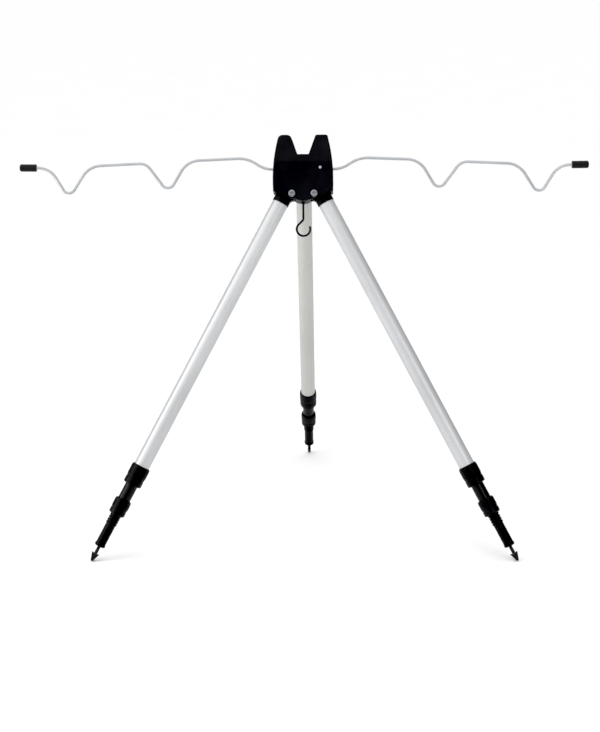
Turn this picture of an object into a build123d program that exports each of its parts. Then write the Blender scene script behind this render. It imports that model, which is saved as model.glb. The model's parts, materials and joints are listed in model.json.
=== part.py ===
from build123d import *
import math
import os

# A folding three-legged rod rest for bank and beach fishing.
#
# A moulded head holds two bent wire arms with two dips each and has a notch of its own, so five
# rods can lean on it.  Three telescopic aluminium legs, in three sections each, hang from the head
# on screws.  Every section is held by an expanding plug inside the tube above it: turning the
# section screws its cone into the plug.  The feet end in flat barbed spikes, and a hook under the
# head takes a ballast bag.
#
# Three frames are used, all in millimetres:
#   leg frame    Z runs up the leg, X points away from the head, Y is the knuckle's hinge axis, and
#                the origin is on that axis.  Depths are distances down the leg from the origin.
#   head frame   X to the right, Y backwards out of the head's plate, Z up the plate, with the
#                origin halfway between the two side screws.
#   row frame    +Z up, the front towards -Y, with the origin on the ground under the middle of
#                the whole object's box.

# ---------------------------------------------------------------- stance
LEAN = 18.0                 # the head's plate and the side legs lean back by this much
SIDE_SPLAY = 27.8           # each side leg opens this far from the plate's centre line
SCREW_SPACING = 30.6        # between the two side screws
LEG_OFFSET = 9.3            # the tube's axis stands this far outside the hinge axis

# ---------------------------------------------------------------- clearances
RUNNING_GAP = 0.1           # radial, between a screw or pin and what turns on it
SLIDE_GAP = 0.2             # radial, between a tube and the lip or bore that it slides in
STOP_GAP = 0.4              # between two pieces that meet at a stop
FACE_GAP = 0.2              # between a hinge leaf and the cheek beside it

# ---------------------------------------------------------------- leg tubes
UPPER_RADIUS = 11.0
MIDDLE_RADIUS = 8.75
LOWER_RADIUS = 7.0
TUBE_WALL = 1.0
NECK = 22.6                 # middle tube left showing when the leg is pushed in
UPPER_COLLAR_DEPTH = 427.0  # from the hinge axis down to the upper collar's top
STROKE = 330.0              # travel of each telescopic section

# ---------------------------------------------------------------- knuckle
LEAF_THICKNESS = 14.0
LEAF_RADIUS = 7.0
FERRULE_WALL = 0.8          # over the upper tube
FERRULE_CLEARANCE = 1.28    # between the ferrule's rim and the head above it, along the leg
FERRULE_LENGTH = 10.0       # from the ferrule's top down to the tube's end
SPIGOT_LENGTH = 27.5
HEEL_RADIUS = 3.0
HEEL_OUT = 11.0             # place of the heel that stops the leg, in the leg frame
HEEL_UP = 3.8

# ---------------------------------------------------------------- collars
UPPER_COLLAR_WALL = 1.9     # over the upper tube
UPPER_COLLAR_LENGTH = 29.0
LOWER_COLLAR_WALL = 2.65    # over the middle tube
LOWER_COLLAR_LENGTH = 23.2
LIP = 5.0                   # the part of a collar below the tube's end
COLLAR_CHAMFER = 1.3

# ---------------------------------------------------------------- locks
EXPANDER_LENGTH = 24.0
EXPANDER_GAP = 0.25         # radial, between an expander and the tube round it
EXPANDER_SLIT = 1.5
CONE_LENGTH = 10.0
STUD_RADIUS = 3.0
STUD_PLUG_LENGTH = 14.0
STUD_FLANGE = 2.0

# ---------------------------------------------------------------- feet
FOOT_LENGTH = 48.8
FOOT_RADIUS = 6.9
FOOT_RIB_RADIUS = 7.8
FOOT_BEAD_RADIUS = 7.5
FOOT_SPIGOT_LENGTH = 20.0
FOOT_BORE_DEPTH = 24.0
SHANK_RADIUS = 2.5
STEM_RADIUS = 2.3
STEM_LENGTH = 10.2
BARB_HALF_WIDTH = 5.2
BARB_LENGTH = 12.2
BARB_THICKNESS = 4.8
BARB_CHAMFER = 0.4
BARB_SWEEP = 1.0            # how far a barb's point stands back towards the foot
TIP_RADIUS = 1.9

# ---------------------------------------------------------------- head
HEAD_DEPTH = 32.0
EAR_DEPTH = 23.0            # the head's depth at the top of its ears
EAR_TOP = 82.6
EAR_WALL = 45.0             # the head keeps its full depth up to this height
NOTCH_FLOOR = 55.0
NOTCH_FLOOR_HALF = 7.8
NOTCH_MOUTH_HALF = 17.4
SIDE_LOW_UP = 3.6           # the swelling side is an arc from here, over its middle, to the ear
SIDE_SWELL = 0.3            # how far its middle stands outside its foot
SIDE_MIDDLE_UP = 30.0
SIDE_HIGH = (35.2, 76.0)
TONGUE_INSET = 4.9          # the tongue's side, inside a side screw
TONGUE_LOW = -10.0
TONGUE_SIDE = -7.6
SKIRT_LOW = -6.4
SKIRT_OUTSET = 4.7          # the skirt's corner, outside a side screw
EDGE_ROUND = 1.6
EAR_ROUND = 3.4
LEFT_EAR_ROUND = 7.4        # the left ear is rounder than the right
WALL = 3.5                  # front and rear walls of the knuckle bay
SIDE_WALL = 2.8             # of the bay, at the head's side
FERRULE_SIDE_GAP = 0.94     # from the open leg's ferrule to that wall
WEB_INSET = 8.3             # the web between the bays, inside a side screw
BOSS_RADIUS = 6.3
CORE_WALL = 3.4             # what is left round the pockets that core the head out

# ---------------------------------------------------------------- rear hinge
REAR_PIVOT_UP = 16.0
REAR_PIVOT_GAP = 7.4        # from the head's rear wall, so that the leaf clears it
LUG_THICKNESS = 5.0
LUG_RADIUS = 6.8
BRIDGE_THICKNESS = 4.0      # the bar that joins the lugs and stops the rear leg
BRIDGE_REACH = 7.0          # how far the bar stands behind the rear hinge

# ---------------------------------------------------------------- fasteners, M5
SCREW_RADIUS = 2.5
PAN_HEAD_RADIUS = 4.9
PAN_HEAD_HEIGHT = 3.4
RECESS_SPAN = 5.6
RECESS_WIDTH = 1.3
RECESS_DEPTH = 1.8
NUT_FLATS = 8.0
NUT_HEIGHT = 4.0
BOLT_HEAD_HEIGHT = 3.5
THREAD_STANDOUT = 1.5
SHELL_SCREW_RADIUS = 2.0    # M4, from the rear into the front shell
SHELL_SCREW_HEAD = 3.7
SHELL_SCREW_PLACE = (9.0, 43.5)
SHELL_SCREW_SUNK = 4.0      # how deep its counterbore is
SHELL_SCREW_GRIP = 9.0      # how far it reaches into the front shell

# ---------------------------------------------------------------- wire arms
WIRE_RADIUS = 1.9
ARM_PIVOT = (23.6, 36.0)    # across and up, in the head frame
ARM_SLOT = 4.6              # width of the slot between the ear's two cheeks
ARM_BEND = 4.0              # centre-line radius where the wire turns into its pivot
ARM_ROUTE = [               # corners of the wire's centre line, with the bend at each
    (53.4, 36.6, 38.0),
    (78.2, 52.2, 40.0),
    (160.8, 48.8, 30.0),
    (186.8, 3.6, 9.5),
    (218.6, 45.8, 18.0),
    (297.6, 42.2, 30.0),
    (325.5, -3.2, 9.0),
    (352.7, 40.2, 30.0),
]
ARM_END = (388.0, 40.6)
ARM_SLOT_INNER = 15.6       # the slot's inner end, below the notch
CAP_RADIUS = 5.1
CAP_LENGTH = 23.0
CAP_BORE_DEPTH = 17.0

# ---------------------------------------------------------------- hook
HOOK_WIRE = 1.5
HOOK_PIN_RADIUS = 1.5
HOOK_PIN_UP = -1.0
HOOK_PIN_HALF = 5.6
HOOK_SLOT = 4.4
HOOK_SLOT_REACH = 6.2       # how far the slot runs to the front and back of the pin
HOOK_RING_RADIUS = 9.4
HOOK_DROP = 46.5            # from the pin down to the ring's centre
HOOK_BEND = 5.0             # centre-line radius where the stem turns towards the ring
HOOK_NECK = 135.0           # where the stem's slanting run meets the ring, in degrees
HOOK_OPENING = 18.0         # where the open end stops, above the ring's centre, in degrees

# ---------------------------------------------------------------- worked out
half_depth = HEAD_DEPTH / 2
bay_half = half_depth - WALL
pivot_x = SCREW_SPACING / 2
ferrule_radius = UPPER_RADIUS + FERRULE_WALL
# The ferrule's rim tips up as its leg opens, so a wider ferrule stands further from the hinge.
ferrule_depth = FERRULE_CLEARANCE + ferrule_radius * math.tan(math.radians(SIDE_SPLAY))
shoulder_depth = ferrule_depth + FERRULE_LENGTH
tongue_half = pivot_x - TONGUE_INSET
web_half = pivot_x - WEB_INSET
skirt_corner = pivot_x + SKIRT_OUTSET
bay_side = (
    pivot_x
    + (LEG_OFFSET + ferrule_radius) * math.cos(math.radians(SIDE_SPLAY))
    + ferrule_depth * math.sin(math.radians(SIDE_SPLAY))
    + FERRULE_SIDE_GAP
)
side_low = (bay_side + SIDE_WALL, SIDE_LOW_UP)
side_middle = (bay_side + SIDE_WALL + SIDE_SWELL, SIDE_MIDDLE_UP)
rear_pivot_back = half_depth + REAR_PIVOT_GAP
upper_collar_radius = UPPER_RADIUS + UPPER_COLLAR_WALL
lower_collar_radius = MIDDLE_RADIUS + LOWER_COLLAR_WALL
spigot_end = shoulder_depth + SPIGOT_LENGTH
upper_bore = UPPER_RADIUS - TUBE_WALL
middle_bore = MIDDLE_RADIUS - TUBE_WALL
lower_bore = LOWER_RADIUS - TUBE_WALL

upper_tube_end = UPPER_COLLAR_DEPTH + UPPER_COLLAR_LENGTH - LIP
lower_collar_depth = UPPER_COLLAR_DEPTH + UPPER_COLLAR_LENGTH + NECK
middle_tube_end = lower_collar_depth + LOWER_COLLAR_LENGTH - LIP
foot_depth = lower_collar_depth + LOWER_COLLAR_LENGTH + STOP_GAP
foot_end = foot_depth + FOOT_LENGTH
barb_depth = foot_end + STEM_LENGTH
leg_length = barb_depth + BARB_LENGTH

middle_lock_depth = spigot_end + STOP_GAP
middle_tube_top = middle_lock_depth + EXPANDER_LENGTH + STOP_GAP + STUD_FLANGE
lower_lock_depth = middle_tube_top + STUD_PLUG_LENGTH + STOP_GAP
lower_tube_top = lower_lock_depth + EXPANDER_LENGTH + STOP_GAP + STUD_FLANGE


def turned_back(out, up, angle):
    """A point of the leg frame, out and up, once the leg has opened by the angle."""
    a = math.radians(angle)
    return out * math.cos(a) - up * math.sin(a), out * math.sin(a) + up * math.cos(a)


# The side legs' heels meet the roof of their bay when the legs are fully open.
side_heel_x, side_heel_z = turned_back(HEEL_OUT, HEEL_UP, SIDE_SPLAY)
roof = side_heel_z + HEEL_RADIUS + STOP_GAP

# The rear leg opens until its spike's tip is level with the other two.
tip_centre = leg_length - TIP_RADIUS
lean = math.radians(LEAN)
side_splay = math.radians(SIDE_SPLAY)
side_drop = (
    tip_centre * math.cos(side_splay) - LEG_OFFSET * math.sin(side_splay)
) * math.cos(lean)
rear_drop = side_drop + REAR_PIVOT_UP * math.cos(lean) - rear_pivot_back * math.sin(lean)
rear_reach = math.hypot(tip_centre, LEG_OFFSET)
rear_from_upright = math.acos(rear_drop / rear_reach) - math.atan2(LEG_OFFSET, tip_centre)
rear_splay = LEAN + math.degrees(rear_from_upright)

# The bar over the rear lugs meets the rear leg's heel in the same way.
rear_heel_y, rear_heel_z = turned_back(HEEL_OUT, HEEL_UP, rear_splay)
bridge_low = REAR_PIVOT_UP + rear_heel_z + HEEL_RADIUS + STOP_GAP


# ================================================================ helpers
def prism(corners, front, back):
    """A solid whose outline is in X and Z, between two places along Y."""
    return extrude(Plane.XZ.offset(-back) * make_face(Polyline(*corners, close=True)), back - front)


def rod_y(radius, x, z, front, back):
    """A round rod along Y."""
    return Pos(x, back, z) * Rot(90, 0, 0) * Cylinder(
        radius, back - front, align=(Align.CENTER, Align.CENTER, Align.MIN)
    )


def rod_x(radius, y, z, left, right):
    """A round rod along X."""
    return Pos(left, y, z) * Rot(0, 90, 0) * Cylinder(
        radius, right - left, align=(Align.CENTER, Align.CENTER, Align.MIN)
    )


def block(x0, x1, y0, y1, z0, z1):
    """A box between two corners."""
    return Pos(x0, y0, z0) * Box(
        x1 - x0, y1 - y0, z1 - z0, align=(Align.MIN, Align.MIN, Align.MIN)
    )


def turned(profile):
    """A body of revolution about the tube's axis, from (radius, depth) corners."""
    wire = Polyline(*[(r, -depth) for r, depth in profile], close=True)
    return revolve(Plane.XZ * make_face(wire), Axis.Z)


def on_tube_axis(shape):
    """Moves a piece made about Z on to the leg's tube axis."""
    return Pos(LEG_OFFSET, 0, 0) * shape


def tube(radius, bore, top, end):
    return on_tube_axis(turned([(bore, top), (radius, top), (radius, end), (bore, end)]))


def hexagon_y(flats, x, z, front, back, bore):
    """A hexagonal nut or bolt head along Y, with a bore if it has one."""
    face = RegularPolygon(flats / 2, 6, major_radius=False)
    if bore:
        face -= Circle(bore)
    return Pos(x, back, z) * Rot(90, 0, 0) * extrude(face, back - front)


# ================================================================ leg pieces, in the leg frame
def knuckle():
    """The moulded top of a leg: a hinge leaf with a stop heel, a ferrule and a spigot."""
    leaf = Sketch() + [
        Circle(LEAF_RADIUS),
        Pos(HEEL_OUT, HEEL_UP) * Circle(HEEL_RADIUS),
        Pos(LEG_OFFSET, -(ferrule_depth + 1)) * Rectangle(2 * (ferrule_radius - 0.6), 2),
    ]
    leaf = make_hull(leaf.edges())
    leaf = extrude(Plane.XZ * leaf, LEAF_THICKNESS / 2, both=True)
    edge = 1.2
    body = turned(
        [
            (0, ferrule_depth),
            (ferrule_radius - edge, ferrule_depth),
            (ferrule_radius, ferrule_depth + edge),
            (ferrule_radius, shoulder_depth),
            (upper_bore, shoulder_depth),
            (upper_bore, spigot_end - 1),
            (upper_bore - 1, spigot_end),
            (0, spigot_end),
        ]
    )
    core_radius = upper_bore - 2.5
    core = turned(
        [(0, shoulder_depth), (core_radius, shoulder_depth), (core_radius, spigot_end), (0, spigot_end)]
    )
    hinge_bore = rod_y(SCREW_RADIUS + RUNNING_GAP, 0, 0, -LEAF_THICKNESS, LEAF_THICKNESS)
    return leaf + on_tube_axis(body) - on_tube_axis(core) - hinge_bore


def collar(radius, tube_radius, inner_radius, top, length):
    """A moulded collar pressed over a tube's end, whose lip guides the next tube."""
    end = top + length
    step = end - LIP
    edge = COLLAR_CHAMFER
    groove = 0.5
    middle = top + length * 0.62
    return on_tube_axis(
        turned(
            [
                (tube_radius, top),
                (radius - edge, top),
                (radius, top + edge),
                (radius, middle),
                (radius - groove, middle + groove),
                (radius - groove, middle + 3 * groove),
                (radius, middle + 4 * groove),
                (radius, end - edge),
                (radius - edge, end),
                (inner_radius, end),
                (inner_radius, step),
                (tube_radius, step),
            ]
        )
    )


def expander(tube_bore, top):
    """The split plug that jams in a tube when the cone below is screwed up into it."""
    radius = tube_bore - EXPANDER_GAP
    bore = STUD_RADIUS + RUNNING_GAP
    end = top + EXPANDER_LENGTH
    mouth = radius - 2.2
    edge = 0.8
    body = turned(
        [
            (bore, top),
            (radius - edge, top),
            (radius, top + edge),
            (radius, end),
            (mouth, end),
            (bore, end - CONE_LENGTH),
        ]
    )
    slit_length = EXPANDER_LENGTH * 0.7
    for turn in (0, 60, 120):
        slit = Rot(0, 0, turn) * block(
            -radius - 1, radius + 1, -EXPANDER_SLIT / 2, EXPANDER_SLIT / 2, -end - 1, -end + slit_length
        )
        body -= slit
    return on_tube_axis(body)


def lock_stud(tube_radius, tube_bore, expander_bore, expander_top):
    """The cone and threaded rod in the top of a section, with the plug that holds them."""
    expander_end = expander_top + EXPANDER_LENGTH
    flange_top = expander_end + STOP_GAP
    tube_top = flange_top + STUD_FLANGE
    mouth = expander_bore - EXPANDER_GAP - 2.2
    cone_radius = mouth - 0.6
    cone_run = CONE_LENGTH * 0.9
    return on_tube_axis(
        turned(
            [
                (0, expander_top + 1),
                (STUD_RADIUS, expander_top + 1),
                (STUD_RADIUS, expander_end - cone_run),
                (cone_radius, expander_end),
                (cone_radius, flange_top),
                (tube_radius - 0.3, flange_top),
                (tube_radius - 0.3, tube_top),
                (tube_bore, tube_top),
                (tube_bore, tube_top + STUD_PLUG_LENGTH),
                (0, tube_top + STUD_PLUG_LENGTH),
            ]
        )
    )


def foot():
    """The moulded foot in the lower tube's end: grip rings, a plain barrel and an end bead."""
    profile = [(0, foot_depth - FOOT_SPIGOT_LENGTH), (lower_bore, foot_depth - FOOT_SPIGOT_LENGTH)]
    profile += [(lower_bore, foot_depth)]
    ring, gap = 2.6, 1.4
    depth = foot_depth
    for _ in range(4):
        profile += [(FOOT_RIB_RADIUS, depth), (FOOT_RIB_RADIUS, depth + ring)]
        profile += [(FOOT_RADIUS, depth + ring + 0.4), (FOOT_RADIUS, depth + ring + gap - 0.4)]
        depth += ring + gap
    bead = 4.0
    profile += [
        (FOOT_RADIUS, foot_end - bead - 0.6),
        (FOOT_BEAD_RADIUS, foot_end - bead),
        (FOOT_BEAD_RADIUS, foot_end - 1.2),
        (FOOT_BEAD_RADIUS - 1.6, foot_end),
        (SHANK_RADIUS, foot_end),
        (SHANK_RADIUS, foot_end - FOOT_BORE_DEPTH),
        (0, foot_end - FOOT_BORE_DEPTH),
    ]
    return on_tube_axis(turned(profile))


def spike():
    """A steel pin whose flattened end is a barbed point."""
    pin = turned(
        [
            (0, foot_end - FOOT_BORE_DEPTH),
            (SHANK_RADIUS, foot_end - FOOT_BORE_DEPTH),
            (SHANK_RADIUS, foot_end),
            (STEM_RADIUS, foot_end + 0.4),
            (STEM_RADIUS, barb_depth + BARB_SWEEP + 1),
            (0, barb_depth + BARB_SWEEP + 1),
        ]
    )
    barb_top = -barb_depth
    root = barb_top - BARB_SWEEP
    flank = [
        (STEM_RADIUS, root),
        (BARB_HALF_WIDTH - 0.7, barb_top),
        (BARB_HALF_WIDTH, barb_top - 0.8),
    ]
    # The two flanks close on a rounded tip of TIP_RADIUS.
    tip_z = -tip_centre
    rise = flank[-1][1] - tip_z
    run = flank[-1][0]
    reach = math.hypot(run, rise)
    turn = math.atan2(run, rise) - math.asin(TIP_RADIUS / reach)
    touch = (TIP_RADIUS * math.cos(turn), tip_z - TIP_RADIUS * math.sin(turn))
    right = Polyline((0, root), *flank, touch)
    tip = ThreePointArc(touch, (0, tip_z - TIP_RADIUS), (-touch[0], touch[1]))
    left = Polyline((-touch[0], touch[1]), *[(-x, z) for x, z in reversed(flank)], (0, root))
    head = extrude(Plane.XZ * make_face(right + tip + left), BARB_THICKNESS / 2, both=True)
    faces = head.faces().sort_by(Axis.Y)
    head = chamfer(faces[0].edges() + faces[-1].edges(), BARB_CHAMFER)
    return on_tube_axis(pin + head)


# ================================================================ head pieces, in the head frame
def head_outline():
    """The head's front view: ears, notch, swelling sides and the tongue over the hook."""
    ear = EAR_TOP
    right = [
        ThreePointArc(side_low, side_middle, SIDE_HIGH),
        Line(SIDE_HIGH, (33.8, ear)),
        Line((33.8, ear), (NOTCH_MOUTH_HALF, ear)),
        Line((NOTCH_MOUTH_HALF, ear), (NOTCH_FLOOR_HALF, NOTCH_FLOOR)),
        Line((tongue_half, TONGUE_SIDE), (tongue_half + 1, SKIRT_LOW)),
        Line((tongue_half + 1, SKIRT_LOW), (skirt_corner, SKIRT_LOW)),
        Line((skirt_corner, SKIRT_LOW), side_low),
    ]
    left = [mirror(edge, Plane.YZ) for edge in right]
    floor = Line((-NOTCH_FLOOR_HALF, NOTCH_FLOOR), (NOTCH_FLOOR_HALF, NOTCH_FLOOR))
    tongue = ThreePointArc((-tongue_half, TONGUE_SIDE), (0, TONGUE_LOW), (tongue_half, TONGUE_SIDE))
    face = make_face(Curve() + right + left + [floor, tongue])
    tops = [v for v in face.vertices() if v.Y > EAR_TOP - 0.1]
    face = fillet([v for v in tops if v.X > 0], EAR_ROUND)
    tops = [v for v in face.vertices() if v.Y > EAR_TOP - 0.1 and v.X < 0]
    return fillet(tops, LEFT_EAR_ROUND)


def head_block():
    """The two shells' common outside, with the ears thinner towards their tops."""
    block_front = extrude(Plane.XZ * head_outline(), half_depth, both=True)
    ear_half = EAR_DEPTH / 2
    side = Polyline(
        (-half_depth, TONGUE_LOW - 1),
        (-half_depth, EAR_WALL),
        (-ear_half, EAR_TOP + 1),
        (ear_half, EAR_TOP + 1),
        (half_depth, EAR_WALL),
        (half_depth, TONGUE_LOW - 1),
        close=True,
    )
    side_solid = extrude(Plane.YZ * make_face(side), 2 * side_middle[0], both=True)
    solid = block_front & side_solid
    front_edges = solid.edges().filter_by_position(Axis.Y, -half_depth - 1, -EAR_DEPTH / 2 + 0.1)
    rear_edges = solid.edges().filter_by_position(Axis.Y, EAR_DEPTH / 2 - 0.1, half_depth + 1)
    return fillet(front_edges + rear_edges, EDGE_ROUND)


def both_sides(shape):
    """A shape on the right and its twin, turned half round the head's upright axis."""
    return shape + Rot(0, 0, 180) * shape


def mirrored_pair(shape):
    """A shape on the right and its mirror image on the left."""
    return shape + mirror(shape, Plane.YZ)


def leg_bays():
    """The two hollows in which the side legs' leaves and ferrules turn."""
    low = TONGUE_LOW - 15
    outline = [
        (web_half, roof),
        (web_half, TONGUE_SIDE + 3.4),
        (tongue_half + 1, TONGUE_SIDE - 0.6),
        (tongue_half + 1, low),
        (bay_side, low),
        (bay_side, roof),
    ]
    bay = prism(outline, -bay_half, bay_half)
    inner = LEAF_THICKNESS / 2 + FACE_GAP
    for front, back in ((-bay_half - 1, -inner), (inner, bay_half + 1)):
        bay -= rod_y(BOSS_RADIUS, pivot_x, 0, front, back)
    return mirrored_pair(bay)


def arm_slots():
    """The slots between the ears' cheeks, wide enough for a wire arm to swing up in."""
    floor = ARM_PIVOT[1] - WIRE_RADIUS - STOP_GAP
    outline = [
        (ARM_SLOT_INNER, floor),
        (bay_side + 20, floor),
        (bay_side + 20, EAR_TOP + 20),
        (NOTCH_FLOOR_HALF, EAR_TOP + 20),
        (NOTCH_FLOOR_HALF, EAR_TOP + 2),
        (ARM_SLOT_INNER, EAR_TOP - 11),
    ]
    return mirrored_pair(prism(outline, -ARM_SLOT / 2, ARM_SLOT / 2))


def arm_bore():
    """The right arm's bore in the front cheek, opened at the slot for the wire's bend."""
    across, up = ARM_PIVOT
    radius = WIRE_RADIUS + RUNNING_GAP
    bore = rod_y(radius, across, up, -half_depth - 1, 0)
    mouth = Pos(across, -ARM_SLOT / 2, up) * Rot(90, 0, 0) * Cone(
        radius + 1.7, radius, 2.6, align=(Align.CENTER, Align.CENTER, Align.MIN)
    )
    return bore + mouth


def hook_space():
    """The slot in the tongue that the hook's eye turns in, and the groove that holds its pin."""
    top = HOOK_PIN_UP + HOOK_PIN_RADIUS + 2 * HOOK_WIRE + 1
    slot = block(
        -HOOK_SLOT / 2, HOOK_SLOT / 2, -HOOK_SLOT_REACH, HOOK_SLOT_REACH, TONGUE_LOW - 1, top
    )
    return slot + rod_x(HOOK_PIN_RADIUS, 0, HOOK_PIN_UP, -HOOK_PIN_HALF, HOOK_PIN_HALF)


def core_pockets():
    """The pockets that keep the mouldings' walls even, either side of a rib in the middle."""
    high = ARM_PIVOT[1] - WIRE_RADIUS - STOP_GAP - CORE_WALL
    low = roof + CORE_WALL
    outline = [(CORE_WALL / 2, low), (bay_side, low), (bay_side - 0.8, high), (CORE_WALL / 2, high)]
    return mirrored_pair(prism(outline, -bay_half, bay_half))


def rear_bracket():
    """The lugs of the rear leg's hinge and the bar that joins them."""
    bridge_top = bridge_low + BRIDGE_THICKNESS
    low = REAR_PIVOT_UP - LUG_RADIUS
    corner = 2.0
    outline = Sketch() + [
        Pos(rear_pivot_back, REAR_PIVOT_UP) * Circle(LUG_RADIUS),
        Pos(rear_pivot_back + BRIDGE_REACH - corner, bridge_top - corner) * Circle(corner),
        Pos(half_depth - 0.5, (low + bridge_top) / 2) * Rectangle(1, bridge_top - low),
    ]
    outline = make_hull(outline.edges())
    inner = LEAF_THICKNESS / 2 + FACE_GAP
    outer = inner + LUG_THICKNESS
    bracket = extrude(Plane.YZ * outline, outer, both=True)
    bracket -= block(-inner, inner, half_depth, half_depth + 40, low - 1, bridge_low)
    return bracket - rod_x(SCREW_RADIUS, rear_pivot_back, REAR_PIVOT_UP, -outer - 1, outer + 1)


def shells():
    """The front and rear mouldings, which meet on the plate's middle plane."""
    across, up = SHELL_SCREW_PLACE
    whole = head_block() - leg_bays() - arm_slots() - hook_space() - core_pockets()
    whole -= both_sides(arm_bore())
    for side in (-1, 1):
        whole -= rod_y(SCREW_RADIUS, side * pivot_x, 0, -half_depth - 1, half_depth + 1)
        whole -= rod_y(SHELL_SCREW_RADIUS, side * across, up, -SHELL_SCREW_GRIP, half_depth + 1)
        sunk = half_depth - SHELL_SCREW_SUNK
        whole -= rod_y(SHELL_SCREW_HEAD + 0.3, side * across, up, sunk, half_depth + 1)
    side = 2 * side_middle[0]
    front = whole & block(-side, side, -half_depth - 1, 0, -50, EAR_TOP + 1)
    rear = whole & block(-side, side, 0, half_depth + 1, -50, EAR_TOP + 1)
    return front, rear + rear_bracket()


def pan_head(radius, height, recess=True):
    """A pan head with a cross recess, sitting on Z = 0 and rising along Z."""
    head = Cylinder(radius, height, align=(Align.CENTER, Align.CENTER, Align.MIN))
    head = fillet(head.edges().sort_by(Axis.Z)[-1], min(1.6, height * 0.5))
    for turn in (0, 90):
        span = min(RECESS_SPAN, radius * 1.2)
        slot = Rot(0, 0, turn) * Box(
            span, RECESS_WIDTH, RECESS_DEPTH, align=(Align.CENTER, Align.CENTER, Align.MAX)
        )
        head -= Pos(0, 0, height) * slot
    return head


def side_screws():
    """The screws that the side legs turn on, headed at the front."""
    end = half_depth + NUT_HEIGHT + THREAD_STANDOUT
    screws = []
    for side in (-1, 1):
        head = Pos(side * pivot_x, -half_depth, 0) * Rot(90, 0, 0) * pan_head(PAN_HEAD_RADIUS, PAN_HEAD_HEIGHT)
        screws.append(head + rod_y(SCREW_RADIUS, side * pivot_x, 0, -half_depth, end))
    return Compound(screws)


def side_nuts():
    nuts = []
    for side in (-1, 1):
        nut = hexagon_y(NUT_FLATS, side * pivot_x, 0, half_depth, half_depth + NUT_HEIGHT, SCREW_RADIUS)
        nuts.append(nut)
    return Compound(nuts)


def shell_screws():
    across, up = SHELL_SCREW_PLACE
    seat = half_depth - SHELL_SCREW_SUNK
    screws = []
    for side in (-1, 1):
        head = Pos(side * across, seat, up) * Rot(-90, 0, 0) * pan_head(SHELL_SCREW_HEAD, 2.8)
        screws.append(head + rod_y(SHELL_SCREW_RADIUS, side * across, up, -SHELL_SCREW_GRIP, seat))
    return Compound(screws)


def rear_bolt():
    """The hexagon-headed bolt of the rear hinge, headed on the left."""
    outer = LEAF_THICKNESS / 2 + FACE_GAP + LUG_THICKNESS
    head = Rot(0, 0, 90) * hexagon_y(NUT_FLATS, 0, 0, outer, outer + BOLT_HEAD_HEIGHT, 0)
    shank = rod_x(SCREW_RADIUS, 0, 0, -outer, outer + NUT_HEIGHT + THREAD_STANDOUT)
    return Pos(0, rear_pivot_back, REAR_PIVOT_UP) * (head + shank)


def rear_nut():
    outer = LEAF_THICKNESS / 2 + FACE_GAP + LUG_THICKNESS
    nut = Rot(0, 0, -90) * hexagon_y(NUT_FLATS, 0, 0, outer, outer + NUT_HEIGHT, SCREW_RADIUS)
    return Pos(0, rear_pivot_back, REAR_PIVOT_UP) * nut


def bent_runs(corners, bends):
    """Straight runs between corners, joined by a bend of the given radius at each inner one."""
    points = [Vector(*corner) for corner in corners]
    runs = []
    start = points[0]
    for before, corner, after, bend in zip(points, points[1:], points[2:], bends):
        inward = (before - corner).normalized()
        onward = (after - corner).normalized()
        half = math.radians(inward.get_angle(onward)) / 2
        tangent = bend / math.tan(half)
        middle = corner + (inward + onward).normalized() * (bend / math.sin(half) - bend)
        begin = corner + inward * tangent
        end = corner + onward * tangent
        runs.append(Line(start, begin))
        runs.append(ThreePointArc(begin, middle, end))
        start = end
    runs.append(Line(start, points[-1]))
    return runs


def round_wire(runs, radius):
    """A round wire along runs that follow one another."""
    path = Wire(runs)
    section = Plane(origin=path @ 0, z_dir=path % 0) * Circle(radius)
    return sweep(section, path=path)


def wire_arm():
    """The right arm: a pivot through the front cheek, then out over its two dips."""
    across, up = ARM_PIVOT
    corners = [(across, -half_depth - 0.6, up), (across, 0, up)]
    corners += [(x, 0, z) for x, z, _ in ARM_ROUTE]
    corners.append((ARM_END[0], 0, ARM_END[1]))
    bends = [ARM_BEND] + [bend for _, _, bend in ARM_ROUTE]
    return round_wire(bent_runs(corners, bends), WIRE_RADIUS)


def arm_cap():
    """The moulded cap pressed on the right arm's end."""
    mouth = -CAP_BORE_DEPTH
    end = CAP_LENGTH - CAP_BORE_DEPTH
    outline = [
        (0, 0),
        (WIRE_RADIUS, 0),
        (WIRE_RADIUS, mouth),
        (CAP_RADIUS - 0.6, mouth),
        (CAP_RADIUS, mouth + 0.6),
        (CAP_RADIUS, end - 1.4),
        (CAP_RADIUS - 1.4, end),
        (0, end),
    ]
    turned_cap = revolve(Plane.XZ * make_face(Polyline(*outline, close=True)), Axis.Z)
    x, z, _ = ARM_ROUTE[-1]
    slope = math.degrees(math.atan2(ARM_END[1] - z, ARM_END[0] - x))
    return Pos(ARM_END[0], 0, ARM_END[1]) * Rot(0, 90 - slope, 0) * turned_cap


def hook():
    """The ballast hook, hanging from its pin at the origin: an eye, a stem and an open ring."""
    eye_radius = HOOK_PIN_RADIUS + RUNNING_GAP + HOOK_WIRE
    eye = Rot(0, 90, 0) * Torus(eye_radius, HOOK_WIRE)
    ring = HOOK_RING_RADIUS

    def on_ring(degrees):
        a = math.radians(degrees)
        return Vector(ring * math.cos(a), 0, ring * math.sin(a) - HOOK_DROP)

    # The slanting run is tangent to the ring, so it crosses the stem's line at this height.
    neck = math.radians(HOOK_NECK)
    crossing = ring / math.sin(neck) - HOOK_DROP
    neck_point = on_ring(HOOK_NECK)
    corners = [(0, 0, -eye_radius), (0, 0, crossing), (neck_point.X, 0, neck_point.Z)]
    runs = bent_runs(corners, [HOOK_BEND])
    runs.append(ThreePointArc(neck_point, on_ring(270), on_ring(360 + HOOK_OPENING)))
    end = on_ring(360 + HOOK_OPENING)
    tip = Pos(end.X, 0, end.Z) * Sphere(HOOK_WIRE)
    return eye + round_wire(runs, HOOK_WIRE) + tip


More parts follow.
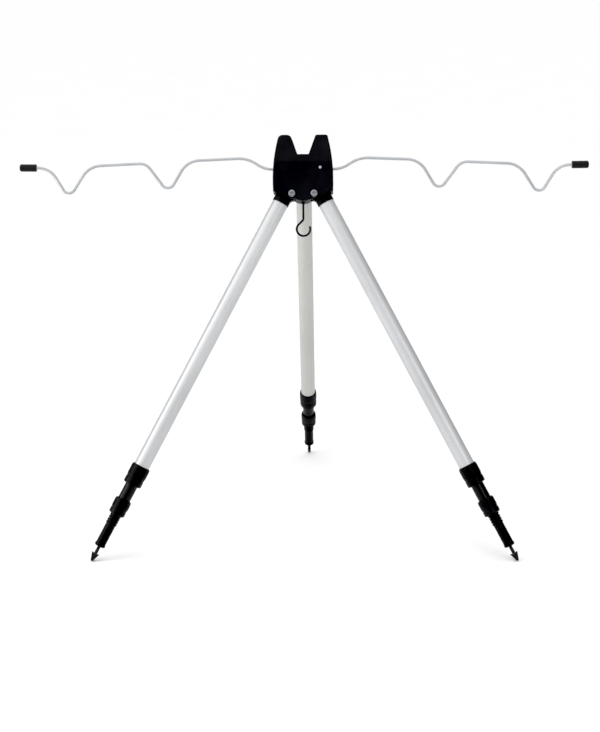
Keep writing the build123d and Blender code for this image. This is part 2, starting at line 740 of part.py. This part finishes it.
def hook_pin():
    return rod_x(HOOK_PIN_RADIUS, 0, HOOK_PIN_UP, -HOOK_PIN_HALF, HOOK_PIN_HALF)


# ================================================================ assembly
def leg_pieces():
    """One leg's pieces, in the leg frame with the leg pushed in."""
    return {
        "knuckle": knuckle(),
        "upper_tube": tube(UPPER_RADIUS, upper_bore, shoulder_depth, upper_tube_end),
        "upper_collar": collar(
            upper_collar_radius,
            UPPER_RADIUS,
            MIDDLE_RADIUS + SLIDE_GAP,
            UPPER_COLLAR_DEPTH,
            UPPER_COLLAR_LENGTH,
        ),
        "upper_expander": expander(upper_bore, middle_lock_depth),
        "middle_stud": lock_stud(MIDDLE_RADIUS, middle_bore, upper_bore, middle_lock_depth),
        "middle_tube": tube(MIDDLE_RADIUS, middle_bore, middle_tube_top, middle_tube_end),
        "lower_collar": collar(
            lower_collar_radius,
            MIDDLE_RADIUS,
            LOWER_RADIUS + SLIDE_GAP,
            lower_collar_depth,
            LOWER_COLLAR_LENGTH,
        ),
        "lower_expander": expander(middle_bore, lower_lock_depth),
        "lower_stud": lock_stud(LOWER_RADIUS, lower_bore, middle_bore, lower_lock_depth),
        "lower_tube": tube(LOWER_RADIUS, lower_bore, lower_tube_top, foot_depth),
        "foot": foot(),
        "spike": spike(),
    }


right_leg_place = Pos(pivot_x, 0, 0) * Rot(0, -SIDE_SPLAY, 0)
leg_places = {
    "right": right_leg_place,
    "left": Rot(0, 0, 180) * right_leg_place,
    "rear": Pos(0, rear_pivot_back, REAR_PIVOT_UP) * Rot(0, 0, 90) * Rot(0, -rear_splay, 0),
}
half_turn = Rot(0, 0, 180)


def head_pieces():
    """The head's pieces and the arms, in the head frame."""
    front, rear = shells()
    arm = wire_arm()
    cap = arm_cap()
    return {
        "head_front_shell": front,
        "head_rear_shell": rear,
        "side_screws": side_screws(),
        "side_nuts": side_nuts(),
        "shell_screws": shell_screws(),
        "rear_bolt": rear_bolt(),
        "rear_nut": rear_nut(),
        "hook_pin": hook_pin(),
        "hook": Pos(0, 0, HOOK_PIN_UP) * Rot(LEAN, 0, 0) * hook(),
        "right_arm": arm,
        "right_arm_cap": cap,
        "left_arm": half_turn * arm,
        "left_arm_cap": half_turn * cap,
    }


def build():
    """Every piece in the row frame, by its node's name, and the place of the head in it."""
    pieces = head_pieces()
    leg = leg_pieces()
    for side, place in leg_places.items():
        for name, piece in leg.items():
            pieces[side + "_" + name] = place * piece
    leaned = {name: Rot(-LEAN, 0, 0) * piece for name, piece in pieces.items()}
    boxes = [piece.bounding_box() for piece in leaned.values()]
    middle_x = (min(b.min.X for b in boxes) + max(b.max.X for b in boxes)) / 2
    middle_y = (min(b.min.Y for b in boxes) + max(b.max.Y for b in boxes)) / 2
    ground = min(b.min.Z for b in boxes)
    to_row = Pos(-middle_x, -middle_y, -ground)
    return {name: to_row * piece for name, piece in leaned.items()}, to_row * Rot(-LEAN, 0, 0)


if __name__ == "__main__":
    os.makedirs("parts", exist_ok=True)
    nodes, _ = build()
    for name, piece in nodes.items():
        export_step(piece, os.path.join("parts", name + ".step"))
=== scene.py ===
import json
import math

import bmesh
import bpy
from mathutils import Matrix, Vector


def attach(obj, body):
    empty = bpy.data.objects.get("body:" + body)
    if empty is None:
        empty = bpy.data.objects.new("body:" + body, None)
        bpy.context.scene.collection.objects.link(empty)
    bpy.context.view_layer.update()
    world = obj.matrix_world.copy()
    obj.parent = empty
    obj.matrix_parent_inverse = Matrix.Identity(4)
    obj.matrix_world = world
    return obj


# The looks of a folding three-legged rod rest: its materials, the small turned and threaded
# details that ride on the CAD pieces, a pale studio and the camera.  Metres, in the CAD's frame.

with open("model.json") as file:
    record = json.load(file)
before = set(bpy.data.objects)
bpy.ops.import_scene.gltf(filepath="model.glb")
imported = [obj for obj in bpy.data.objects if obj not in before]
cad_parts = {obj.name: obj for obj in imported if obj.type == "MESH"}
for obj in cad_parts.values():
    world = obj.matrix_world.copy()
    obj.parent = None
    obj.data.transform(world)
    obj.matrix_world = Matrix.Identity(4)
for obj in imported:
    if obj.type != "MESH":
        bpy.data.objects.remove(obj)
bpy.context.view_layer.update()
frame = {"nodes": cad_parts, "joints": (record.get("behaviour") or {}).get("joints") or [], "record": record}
nodes = frame["nodes"]
record = frame["record"]
joints = {j["name"]: j for j in frame["joints"]}

SIDES = ("left", "right", "rear")

# ---------------------------------------------------------------- camera
CAMERA_TARGET = (-0.0087, 0.0, 0.2122)
CAMERA_DISTANCE = 2.2796
CAMERA_ELEVATION = 14.58
CAMERA_AZIMUTH = -1.32          # degrees off straight-on, to the left
CAMERA_ROLL = -0.535
FOCAL_IN_HEIGHTS = 2.0998       # focal length as a share of the picture's height
SENSOR = 36.0

# ---------------------------------------------------------------- details, in metres
MM = 0.001
SHARP_ANGLE = 40.0              # degrees; edges sharper than this stay sharp
GRIP_RIBS = 26                  # round each twist-lock collar
GRIP_RIB_WIDTH = 1.1 * MM
GRIP_RIB_HEIGHT = 0.35 * MM
GRIP_RUN_OUT = 1.2 * MM         # over which a rib fades away at each end
GRIP_FROM, GRIP_TO = 0.44, 0.93     # the ribbed share of a collar's length
GRIP_ROOT = 0.05 * MM           # how far a rib's foot sits inside the collar
GRIP_SUNK = 0.3 * MM            # how far its underside does
SCREW_RADIUS = 2.5 * MM         # M5
THREAD_PITCH = 0.8 * MM
THREAD_DEPTH = 0.28 * MM
THREAD_STEPS = 36               # round one turn
SCREW_REACH = 8 * MM            # vertices this near a hinge's line belong to its own screw
RIVET_RADIUS = 1.7 * MM         # holds each upper tube to its knuckle
RIVET_HEIGHT = 0.8 * MM
RIVET_BELOW_TOP = 12 * MM
RIVET_SUNK = 0.05 * MM
RIVET_STEPS = 28

# ---------------------------------------------------------------- studio
FLOOR_HALF = 400.0
WORLD_LIGHT = 0.36              # the backdrop's strength as a light
WORLD_SEEN = 1.04               # and as the camera sees it
BLACK_LEVEL = 0.025


def leg_frame(side):
    """The leg's own axes: Z up the tube's axis, Y along the hinge, origin level with the hinge."""
    lock = joints[side + "_middle_lock"]
    hinge = joints[side + "_leg_fold"]
    up = -Vector(lock["axis"]).normalized()
    across = Vector(hinge["axis"]).normalized()
    outward = across.cross(up)
    turn = Matrix((outward, across, up)).transposed().to_4x4()
    below = Vector(lock["pos_m"])
    origin = below + up * up.dot(Vector(hinge["pos_m"]) - below)
    return Matrix.Translation(origin) @ turn


LEG = {side: leg_frame(side) for side in SIDES}
LEAN = math.atan2(joints["left_arm_fold"]["axis"][2], joints["left_arm_fold"]["axis"][1])
HEAD = Matrix.Translation(Vector(joints["hook_swing"]["pos_m"])) @ Matrix.Rotation(LEAN, 4, "X")


# ================================================================ node helpers
class Shader:
    """A new node material with a principled shader, and short ways to add to it."""

    def __init__(self, name, colour, roughness, metallic=0.0, **sockets):
        self.material = bpy.data.materials.new(name)
        self.material.use_nodes = True
        self.tree = self.material.node_tree
        self.principled = self.tree.nodes["Principled BSDF"]
        self.set("Base Color", (*colour, 1.0))
        self.set("Roughness", roughness)
        self.set("Metallic", metallic)
        for socket, value in sockets.items():
            self.set(socket.replace("_", " "), value)

    def set(self, socket, value):
        self.principled.inputs[socket].default_value = value

    def node(self, kind, **values):
        made = self.tree.nodes.new("ShaderNode" + kind)
        for key, value in values.items():
            setattr(made, key, value)
        return made

    def link(self, source, target):
        self.tree.links.new(source, target)

    def place(self, matrix=None, scale=(1, 1, 1)):
        """Object coordinates, first turned into a piece's own axes, then stretched."""
        socket = self.node("TexCoord").outputs["Object"]
        if matrix is not None:
            turn = self.node("Mapping", vector_type="TEXTURE")
            turn.inputs["Location"].default_value = matrix.to_translation()
            turn.inputs["Rotation"].default_value = matrix.to_euler("XYZ")
            self.link(socket, turn.inputs["Vector"])
            socket = turn.outputs["Vector"]
        stretch = self.node("Mapping", vector_type="POINT")
        stretch.inputs["Scale"].default_value = scale
        self.link(socket, stretch.inputs["Vector"])
        return stretch.outputs["Vector"]

    def noise(self, place, scale, detail=4.0, rough=0.55, distortion=0.0):
        made = self.node("TexNoise")
        made.inputs["Scale"].default_value = scale
        made.inputs["Detail"].default_value = detail
        made.inputs["Roughness"].default_value = rough
        made.inputs["Distortion"].default_value = distortion
        self.link(place, made.inputs["Vector"])
        return made.outputs["Fac"]

    def cells(self, place, scale):
        made = self.node("TexVoronoi", feature="F1")
        made.inputs["Scale"].default_value = scale
        self.link(place, made.inputs["Vector"])
        return made.outputs["Distance"]

    def ramp(self, value, low, high, out_low=0.0, out_high=1.0):
        made = self.node("MapRange", clamp=True)
        for socket, number in (
            ("From Min", low),
            ("From Max", high),
            ("To Min", out_low),
            ("To Max", out_high),
        ):
            made.inputs[socket].default_value = number
        self.link(value, made.inputs["Value"])
        return made.outputs["Result"]

    def math(self, operation, a, b):
        made = self.node("Math", operation=operation)
        for socket, value in zip(made.inputs, (a, b)):
            if isinstance(value, (int, float)):
                socket.default_value = value
            else:
                self.link(value, socket)
        return made.outputs["Value"]

    def mix(self, share, a, b):
        """Two colours mixed by a value; each is a triple or a socket."""
        made = self.node("Mix", data_type="RGBA")
        self.link(share, made.inputs["Factor"])
        for socket, value in ((made.inputs[6], a), (made.inputs[7], b)):
            if isinstance(value, tuple):
                socket.default_value = (*value, 1.0)
            else:
                self.link(value, socket)
        return made.outputs[2]

    def colour(self, socket):
        self.link(socket, self.principled.inputs["Base Color"])

    def roughness(self, socket):
        self.link(socket, self.principled.inputs["Roughness"])

    def edge(self, radius):
        """How near a surface point is to a sharp edge, from 0 on the flat to 1 on the edge."""
        bevel = self.node("Bevel", samples=6)
        bevel.inputs["Radius"].default_value = radius
        flat = self.node("NewGeometry").outputs["Normal"]
        dot = self.node("VectorMath", operation="DOT_PRODUCT")
        self.link(bevel.outputs["Normal"], dot.inputs[0])
        self.link(flat, dot.inputs[1])
        return self.ramp(dot.outputs["Value"], 1.0, 0.82)

    def bump(self, *layers, edge_radius=None):
        """Height layers of (socket, depth in metres, strength), over rounded edges if asked."""
        normal = None
        if edge_radius:
            bevel = self.node("Bevel", samples=6)
            bevel.inputs["Radius"].default_value = edge_radius
            normal = bevel.outputs["Normal"]
        for height, depth, strength in layers:
            made = self.node("Bump")
            made.inputs["Strength"].default_value = strength
            made.inputs["Distance"].default_value = depth
            self.link(height, made.inputs["Height"])
            if normal is not None:
                self.link(normal, made.inputs["Normal"])
            normal = made.outputs["Normal"]
        self.link(normal, self.principled.inputs["Normal"])


# ================================================================ materials
def moulded_plastic(name, axes, colour, roughness, grain, gloss_spread=0.10):
    """Black injection-moulded plastic: spark-eroded grain, flow marks, rubbed edges and dust."""
    m = Shader(name, colour, roughness, Specular_IOR_Level=0.2)
    fine = m.place(axes)
    skin = m.cells(fine, grain)
    pebble = m.noise(fine, grain * 0.55, 3.0, 0.6)
    flow = m.noise(m.place(axes, (1.0, 1.0, 0.35)), 42.0, 5.0, 0.6, 0.6)
    smudge = m.noise(fine, 17.0, 4.0, 0.5)
    worn = m.math("MULTIPLY", m.edge(0.9 * MM), m.ramp(m.noise(fine, 210.0), 0.38, 0.66))
    light = tuple(min(1.0, c * 2.6 + 0.012) for c in colour)
    dust = tuple(min(1.0, c * 1.7 + 0.004) for c in colour)
    tone = m.mix(m.ramp(smudge, 0.42, 0.72, 0.0, 0.55), colour, dust)
    m.colour(m.mix(worn, tone, light))
    gloss = m.ramp(flow, 0.3, 0.7, roughness - gloss_spread, roughness + gloss_spread)
    m.roughness(m.math("SUBTRACT", gloss, m.math("MULTIPLY", worn, 0.12)))
    m.bump((skin, 0.05 * MM, 0.35), (pebble, 0.06 * MM, 0.4), edge_radius=0.45 * MM)
    return m.material


def anodised_tube(name, axes, colour):
    """Satin silver anodised tube: drawing lines along it, faint bands, scuffs and smudges."""
    m = Shader(name, colour, 0.42, 0.5, Specular_IOR_Level=0.4)
    along = m.place(axes, (1.0, 1.0, 0.012))
    plain = m.place(axes)
    lines = m.noise(along, 2600.0, 2.0, 0.7)
    streak = m.noise(along, 420.0, 3.0, 0.6)
    cloud = m.noise(m.place(axes, (1.0, 1.0, 0.3)), 26.0, 4.0, 0.55)
    pores = m.noise(plain, 3800.0, 2.0, 0.5)
    scuff = m.ramp(m.noise(m.place(axes, (1.0, 1.0, 0.18)), 150.0, 6.0, 0.75, 1.2), 0.63, 0.72)
    darker = tuple(c * 0.9 for c in colour)
    pale = tuple(min(1.0, c * 1.06) for c in colour)
    tone = m.mix(m.ramp(cloud, 0.3, 0.7), darker, pale)
    tone = m.mix(m.ramp(streak, 0.35, 0.75, 0.0, 0.45), tone, darker)
    m.colour(m.mix(m.math("MULTIPLY", scuff, 0.35), tone, tuple(c * 0.72 for c in colour)))
    rough = m.ramp(lines, 0.25, 0.75, 0.36, 0.50)
    rough = m.math("ADD", rough, m.ramp(cloud, 0.35, 0.7, -0.03, 0.05))
    m.roughness(m.math("ADD", rough, m.math("MULTIPLY", scuff, 0.14)))
    m.bump((lines, 0.012 * MM, 0.5), (pores, 0.01 * MM, 0.25), edge_radius=0.3 * MM)
    return m.material


def coated_metal(name, axes, colour, roughness, rub=0.5, bare=(0.42, 0.42, 0.43)):
    """Black coated metal: orange-peel coat, lengthwise sliding marks and bare metal at edges."""
    coat = {"Coat_Weight": 0.1, "Coat_Roughness": 0.25}
    m = Shader(name, colour, roughness, Specular_IOR_Level=0.25, **coat)
    plain = m.place(axes)
    peel = m.noise(plain, 1500.0, 2.0, 0.5)
    marks = m.noise(m.place(axes, (1.0, 1.0, 0.02)), 900.0, 4.0, 0.7)
    rubbed = m.math("MULTIPLY", m.ramp(marks, 0.62, 0.74), rub)
    edge = m.math("MULTIPLY", m.edge(0.5 * MM), m.ramp(m.noise(plain, 380.0), 0.46, 0.62))
    tone = m.mix(rubbed, colour, tuple(c * 2.4 + 0.02 for c in colour))
    m.colour(m.mix(edge, tone, bare))
    m.link(edge, m.principled.inputs["Metallic"])
    m.roughness(m.ramp(marks, 0.3, 0.75, roughness - 0.07, roughness + 0.12))
    m.bump((peel, 0.02 * MM, 0.3), (marks, 0.01 * MM, 0.3), edge_radius=0.25 * MM)
    return m.material


def drawn_wire(name, axes, colour, roughness):
    """Bright plated wire: drawing marks, pits, dull handled patches and scattered patches of grime."""
    m = Shader(name, colour, roughness, 0.7, Specular_IOR_Level=0.4)
    plain = m.place(axes)
    marks = m.noise(m.place(axes, (0.04, 1.0, 1.0)), 2200.0, 3.0, 0.65)
    pits = m.cells(plain, 900.0)
    patch = m.noise(plain, 55.0, 4.0, 0.6)
    grime = m.ramp(m.noise(plain, 160.0, 5.0, 0.7), 0.58, 0.72, 0.0, 0.5)
    tone = m.mix(m.ramp(patch, 0.35, 0.68), tuple(c * 0.88 for c in colour), colour)
    m.colour(m.mix(grime, tone, tuple(c * 0.68 for c in colour)))
    rough = m.ramp(patch, 0.3, 0.7, roughness - 0.05, roughness + 0.1)
    m.roughness(m.math("ADD", rough, m.math("MULTIPLY", grime, 0.15)))
    m.bump((marks, 0.012 * MM, 0.35), (pits, 0.01 * MM, 0.3), edge_radius=0.2 * MM)
    return m.material


def zinc_steel(name, axes, colour, roughness):
    """Zinc plated fastener: mottled passivation and fine turning marks."""
    m = Shader(name, colour, roughness, 1.0)
    plain = m.place(axes)
    mottle = m.noise(plain, 700.0, 5.0, 0.65)
    turning = m.noise(m.place(axes, (0.3, 1.0, 0.3)), 5200.0, 2.0, 0.5)
    cool = tuple(c * f for c, f in zip(colour, (0.86, 0.89, 0.94)))
    m.colour(m.mix(m.ramp(mottle, 0.35, 0.7), cool, colour))
    m.roughness(m.ramp(mottle, 0.3, 0.72, roughness - 0.06, roughness + 0.12))
    m.bump((turning, 0.008 * MM, 0.3), edge_radius=0.25 * MM)
    return m.material


def soft_rubber(name, axes, colour):
    """The arms' soft black caps: a dull, slightly powdery skin with faint mould marks."""
    m = Shader(name, colour, 0.62, Specular_IOR_Level=0.3, Sheen_Weight=0.12, Sheen_Roughness=0.5)
    plain = m.place(axes)
    skin = m.noise(plain, 1300.0, 4.0, 0.65)
    bloom = m.noise(plain, 120.0, 4.0, 0.6)
    m.colour(m.mix(m.ramp(bloom, 0.4, 0.75), colour, tuple(c * 1.9 + 0.006 for c in colour)))
    m.roughness(m.ramp(bloom, 0.3, 0.7, 0.52, 0.72))
    m.bump((skin, 0.03 * MM, 0.4), edge_radius=0.5 * MM)
    return m.material


def acetal(name, axes, colour):
    """The white plugs inside the tubes: waxy plastic with turning marks and grey rub."""
    m = Shader(name, colour, 0.4, Subsurface_Weight=0.08)
    plain = m.place(axes)
    rings = m.noise(m.place(axes, (0.1, 0.1, 1.0)), 1800.0, 2.0, 0.5)
    rub = m.ramp(m.noise(plain, 260.0, 5.0, 0.7), 0.55, 0.75, 0.0, 0.6)
    m.colour(m.mix(rub, colour, (0.42, 0.42, 0.41)))
    m.roughness(m.ramp(rings, 0.3, 0.7, 0.34, 0.5))
    m.bump((rings, 0.015 * MM, 0.4), edge_radius=0.3 * MM)
    return m.material


BLACK = (0.0050, 0.0050, 0.0062)
DEEP_BLACK = (0.0040, 0.0040, 0.0046)
STUD_BLACK = (0.03, 0.03, 0.032)
SPIKE_BLACK = (0.010, 0.010, 0.011)
SILVER = (0.56, 0.568, 0.58)
# The rear leg's aluminium: a warmer tone of its own, and darker than SILVER as painted shade for a tube that
# gets less light from above.
WARM_SHADED_SILVER = (0.53, 0.528, 0.512)
WIRE_GREY = (0.46, 0.475, 0.49)
SCREW_GREY = (0.27, 0.28, 0.295)
PIN_GREY = (0.62, 0.62, 0.63)
PLUG_WHITE = (0.72, 0.71, 0.67)

materials = {
    "head_plastic": moulded_plastic("head_plastic", HEAD, BLACK, 0.46, 1500.0),
    "arm_wire": drawn_wire("arm_wire", HEAD, WIRE_GREY, 0.38),
    "cap_rubber": soft_rubber("cap_rubber", HEAD, DEEP_BLACK),
    "plated_steel": zinc_steel("plated_steel", HEAD, SCREW_GREY, 0.34),
    "pin_steel": zinc_steel("pin_steel", HEAD, PIN_GREY, 0.26),
    "hook_black": coated_metal("hook_black", HEAD, DEEP_BLACK, 0.34, 0.3),
}
for side in SIDES:
    axes = LEG[side]
    # The rear leg takes the warmer silver, darkened with painted shade.
    materials[side, "leg_aluminium"] = anodised_tube(
        side + "_leg_aluminium", axes, WARM_SHADED_SILVER if side == "rear" else SILVER
    )
    for slot, grain, rough in (
        ("knuckle_plastic", 1500.0, 0.46),
        ("collar_plastic", 1900.0, 0.40),
        ("foot_plastic", 1700.0, 0.44),
        ("stud_plastic", 1400.0, 0.50),
    ):
        colour = STUD_BLACK if slot == "stud_plastic" else DEEP_BLACK
        materials[side, slot] = moulded_plastic(side + "_" + slot, axes, colour, rough, grain)
    materials[side, "plug_plastic"] = acetal(side + "_plug_plastic", axes, PLUG_WHITE)
    for slot in ("middle_tube_black", "lower_tube_black"):
        materials[side, slot] = coated_metal(side + "_" + slot, axes, DEEP_BLACK, 0.30)
    spike = side + "_spike_steel"
    materials[side, "spike_steel"] = coated_metal(spike, axes, SPIKE_BLACK, 0.42, 0.6)

slot_of = {entry["node"]: entry["material_slot"] for entry in record["subparts"]}


def finish_of(node):
    """The material for a CAD node: its leg's own where it is on a leg, so marks run along it."""
    slot = slot_of[node]
    side = node.split("_")[0]
    return materials.get((side, slot)) or materials[slot]


for name, obj in nodes.items():
    obj.data.materials.clear()
    obj.data.materials.append(finish_of(name))


# ================================================================ small visible details
def reach(node, axes):
    """A node's lowest and highest place along the axes' Z, and its largest radius round it."""
    inward = axes.inverted()
    points = [inward @ vertex.co for vertex in nodes[node].data.vertices]
    heights = [point.z for point in points]
    return min(heights), max(heights), max(point.to_2d().length for point in points)


def add_piece(name, mesh, material, body):
    """A finished mesh as a piece that rides on a body, shaded smooth apart from sharp edges."""
    bm = bmesh.new()
    bm.from_mesh(mesh)
    bmesh.ops.recalc_face_normals(bm, faces=bm.faces)
    bm.to_mesh(mesh)
    bm.free()
    mesh.shade_smooth()
    mesh.set_sharp_from_angle(angle=math.radians(SHARP_ANGLE))
    mesh.materials.append(material)
    piece = bpy.data.objects.new(name, mesh)
    bpy.context.scene.collection.objects.link(piece)
    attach(piece, body)
    return piece


def mesh_of_tubes(name, tubes):
    """A mesh of closed tubes, each given as its closed loops of points, one after the next."""
    points, faces = [], []
    for loops in tubes:
        join_loops(points, faces, loops)
    mesh = bpy.data.meshes.new(name)
    mesh.from_pydata(points, [], faces)
    return mesh


def join_loops(points, faces, loops):
    """Joins closed loops of points one to the next and caps both ends: one closed tube."""
    first = len(points)
    size = len(loops[0])
    for loop in loops:
        points.extend(loop)
    for row in range(len(loops) - 1):
        for k in range(size):
            a = first + row * size + k
            b = first + row * size + (k + 1) % size
            faces.append((a, b, b + size, a + size))
    faces.append(tuple(first + k for k in range(size)))
    faces.append(tuple(first + (len(loops) - 1) * size + k for k in range(size)))


def grip_ribs(name, axes, radius, low, high):
    """Rounded lengthwise ribs round a collar, each run out to nothing at both ends."""
    ribs = []
    sunk = radius - GRIP_SUNK
    section = ((-0.5, 0.0), (-0.36, 0.62), (-0.14, 0.96), (0.14, 0.96), (0.36, 0.62), (0.5, 0.0))
    for rib in range(GRIP_RIBS):
        angle = 2 * math.pi * (rib + 0.5) / GRIP_RIBS
        out = Vector((math.cos(angle), math.sin(angle), 0))
        side = Vector((-math.sin(angle), math.cos(angle), 0))
        loops = []
        full_from, full_to = low + GRIP_RUN_OUT, high - GRIP_RUN_OUT
        for z, share in ((low, 0.0), (full_from, 1.0), (full_to, 1.0), (high, 0.0)):
            loop = []
            for across, rise in section:
                height = (radius - GRIP_ROOT) + GRIP_RIB_HEIGHT * rise * share
                depth = height if rise else sunk
                place = out * depth + side * across * GRIP_RIB_WIDTH + Vector((0, 0, z))
                loop.append(axes @ place)
            loops.append(loop)
        ribs.append(loops)
    return mesh_of_tubes(name, ribs)


def screw_thread(name, axes, radius, low, high):
    """A ridge wound round a screw's end: the part of its thread that shows past the nut."""
    loops = []
    steps = THREAD_STEPS
    usable = high - low - 0.4 * THREAD_PITCH
    count = int(steps * usable / THREAD_PITCH)
    for k in range(count + 1):
        angle = 2 * math.pi * k / steps
        z = low + 0.2 * THREAD_PITCH + THREAD_PITCH * k / steps
        share = min(1.0, 4.0 * k / steps, 4.0 * (count - k) / steps)
        out = Vector((math.cos(angle), math.sin(angle), 0))
        half = 0.34 * THREAD_PITCH
        crest = radius + THREAD_DEPTH * share
        profile = ((radius - 0.2 * MM, -half), (crest, -half * 0.25), (crest, half * 0.25))
        profile += ((radius - 0.2 * MM, half),)
        loops.append([axes @ (out * r + Vector((0, 0, z + dz))) for r, dz in profile])
    return mesh_of_tubes(name, [loops])


def domed_rivet(name, axes, radius, height):
    """A shallow dome on the axes' origin, rising along Z, with a skirt sunk below it."""
    loops = []
    steps = RIVET_STEPS
    rings = ((1.0, -0.6), (1.0, 0.1), (0.93, 0.45), (0.74, 0.78), (0.42, 0.96), (0.08, 1.0))
    for share, rise in rings:
        loop = []
        for k in range(steps):
            angle = 2 * math.pi * k / steps
            x, y = radius * share * math.cos(angle), radius * share * math.sin(angle)
            loop.append(axes @ Vector((x, y, height * rise)))
        loops.append(loop)
    return mesh_of_tubes(name, [loops])


def collar_grips():
    for side in SIDES:
        axes = LEG[side]
        for level, body in (("upper", "leg"), ("lower", "middle_section")):
            collar = side + "_" + level + "_collar"
            low, high, radius = reach(collar, axes)
            length = high - low
            ribs_low, ribs_high = low + GRIP_FROM * length, low + GRIP_TO * length
            mesh = grip_ribs(collar + "_grip", axes, radius, ribs_low, ribs_high)
            material = materials[side, "collar_plastic"]
            add_piece(collar + "_grip", mesh, material, side + "_" + body)


def tube_rivets():
    """A rivet near the top of each upper tube: behind on a side leg, inside on the rear leg."""
    for side in SIDES:
        axes = LEG[side]
        _, top, radius = reach(side + "_upper_tube", axes)
        facing = Vector((-1, 0, 0)) if side == "rear" else Vector((0, 1, 0))
        if side != "rear" and (axes.to_3x3() @ facing).y < 0:
            facing = -facing
        place = facing * (radius - RIVET_SUNK) + Vector((0, 0, top - RIVET_BELOW_TOP))
        turn = facing.to_track_quat("Z", "Y").to_matrix().to_4x4()
        dome = axes @ Matrix.Translation(place) @ turn
        name = side + "_tube_rivet"
        mesh = domed_rivet(name, dome, RIVET_RADIUS, RIVET_HEIGHT)
        add_piece(name, mesh, materials["plated_steel"], side + "_leg")


def screw_ends():
    """Thread on the ends of the three hinge screws, where they stand out of their nuts."""
    for side in SIDES:
        hinge = joints[side + "_leg_fold"]
        along = Vector(hinge["axis"]).normalized()
        screw, nut = ("rear_bolt", "rear_nut") if side == "rear" else ("side_screws", "side_nuts")
        middle = Vector(hinge["pos_m"])
        ends = {}
        for node in (screw, nut):
            mine = [v.co - middle for v in nodes[node].data.vertices]
            mine = [p for p in mine if (p - along * p.dot(along)).length < SCREW_REACH]
            reaches = [p.dot(along) for p in mine]
            ends[node] = (min(reaches), max(reaches))
        nut_far = max(ends[nut], key=abs)
        if nut_far < 0:
            along, low, high = -along, -nut_far, -min(ends[screw])
        else:
            low, high = nut_far, max(ends[screw])
        axes = Matrix.Translation(middle) @ along.to_track_quat("Z", "Y").to_matrix().to_4x4()
        name = side + "_screw_thread"
        mesh = screw_thread(name, axes, SCREW_RADIUS, low, high)
        add_piece(name, mesh, materials["plated_steel"], "head")


collar_grips()
tube_rivets()
screw_ends()


# ================================================================ stage
def plain_floor():
    """A pale floor that the spikes stand on, wide enough to fill the view."""
    half = FLOOR_HALF
    mesh = bpy.data.meshes.new("floor")
    corners = [(-half, -half, 0), (half, -half, 0), (half, half, 0), (-half, half, 0)]
    mesh.from_pydata(corners, [], [(0, 1, 2, 3)])
    floor = bpy.data.objects.new("floor", mesh)
    bpy.context.scene.collection.objects.link(floor)
    m = Shader("floor_paint", (0.93, 0.93, 0.93), 0.9, Specular_IOR_Level=0.05)
    cloud = m.noise(m.place(), 3.0, 3.0, 0.5)
    m.colour(m.mix(m.ramp(cloud, 0.3, 0.7), (0.925, 0.925, 0.925), (0.935, 0.935, 0.935)))
    mesh.materials.append(m.material)


def soft_sun(name, azimuth, elevation, strength, width):
    """Parallel light from a wide disc of sky; the azimuth runs from the front to the right."""
    a, e = math.radians(azimuth), math.radians(elevation)
    towards = Vector((math.sin(a) * math.cos(e), -math.cos(a) * math.cos(e), math.sin(e)))
    data = bpy.data.lights.new(name, "SUN")
    data.energy = strength
    data.angle = math.radians(width)
    light = bpy.data.objects.new(name, data)
    light.rotation_mode = "QUATERNION"
    light.rotation_quaternion = towards.to_track_quat("Z", "Y")
    light.location = towards
    bpy.context.scene.collection.objects.link(light)


def area_light(name, place, aim, size, power):
    """A rectangular softbox."""
    data = bpy.data.lights.new(name, "AREA")
    data.shape = "RECTANGLE"
    data.size, data.size_y = size
    data.energy = power
    light = bpy.data.objects.new(name, data)
    light.location = place
    light.rotation_mode = "QUATERNION"
    light.rotation_quaternion = (Vector(aim) - Vector(place)).to_track_quat("-Z", "Y")
    bpy.context.scene.collection.objects.link(light)


def studio():
    """White light from all round, three soft suns and a softbox on each side."""
    scene = bpy.context.scene
    world = bpy.data.worlds.new("studio")
    scene.world = world
    world.use_nodes = True
    nodes_of_world = world.node_tree.nodes
    background = nodes_of_world["Background"]
    background.inputs["Color"].default_value = (1.0, 1.0, 1.0, 1.0)
    # Seen past the floor's edge the backdrop is white; as a light it is weaker.
    seen = nodes_of_world.new("ShaderNodeLightPath")
    strength = nodes_of_world.new("ShaderNodeMapRange")
    strength.inputs["To Min"].default_value = WORLD_LIGHT
    strength.inputs["To Max"].default_value = WORLD_SEEN
    world.node_tree.links.new(seen.outputs["Is Camera Ray"], strength.inputs["Value"])
    world.node_tree.links.new(strength.outputs["Result"], background.inputs["Strength"])
    soft_sun("key", -52.0, 50.0, 1.7, 95.0)
    soft_sun("fill", 40.0, 60.0, 0.5, 80.0)
    soft_sun("back", 160.0, 65.0, 0.6, 80.0)
    area_light("left softbox", (-1.3, -0.5, 0.75), (-0.15, -0.1, 0.25), (0.7, 1.0), 5.5)
    area_light("right softbox", (0.95, -1.5, 0.85), (0.2, -0.15, 0.25), (0.7, 1.0), 4.0)
    scene.view_settings.view_transform = "Standard"
    scene.view_settings.use_curve_mapping = True
    scene.view_settings.curve_mapping.black_level = (BLACK_LEVEL,) * 3


def photo_camera():
    e, a = math.radians(CAMERA_ELEVATION), math.radians(CAMERA_AZIMUTH)
    forward = Vector((math.sin(a) * math.cos(e), math.cos(a) * math.cos(e), -math.sin(e)))
    right = Vector((math.cos(a), -math.sin(a), 0.0))
    up = right.cross(forward)
    roll = Matrix.Rotation(math.radians(CAMERA_ROLL), 3, -forward)
    turn = Matrix((roll @ right, roll @ up, -forward)).transposed()
    data = bpy.data.cameras.new("camera")
    data.sensor_fit = "AUTO"
    data.sensor_width = SENSOR
    data.lens = FOCAL_IN_HEIGHTS * SENSOR
    data.clip_start, data.clip_end = 0.05, 100.0
    camera = bpy.data.objects.new("camera", data)
    camera.matrix_world = (
        Matrix.Translation(Vector(CAMERA_TARGET) - CAMERA_DISTANCE * forward) @ turn.to_4x4()
    )
    bpy.context.scene.collection.objects.link(camera)
    bpy.context.scene.camera = camera


photo_camera()
studio()
plain_floor()
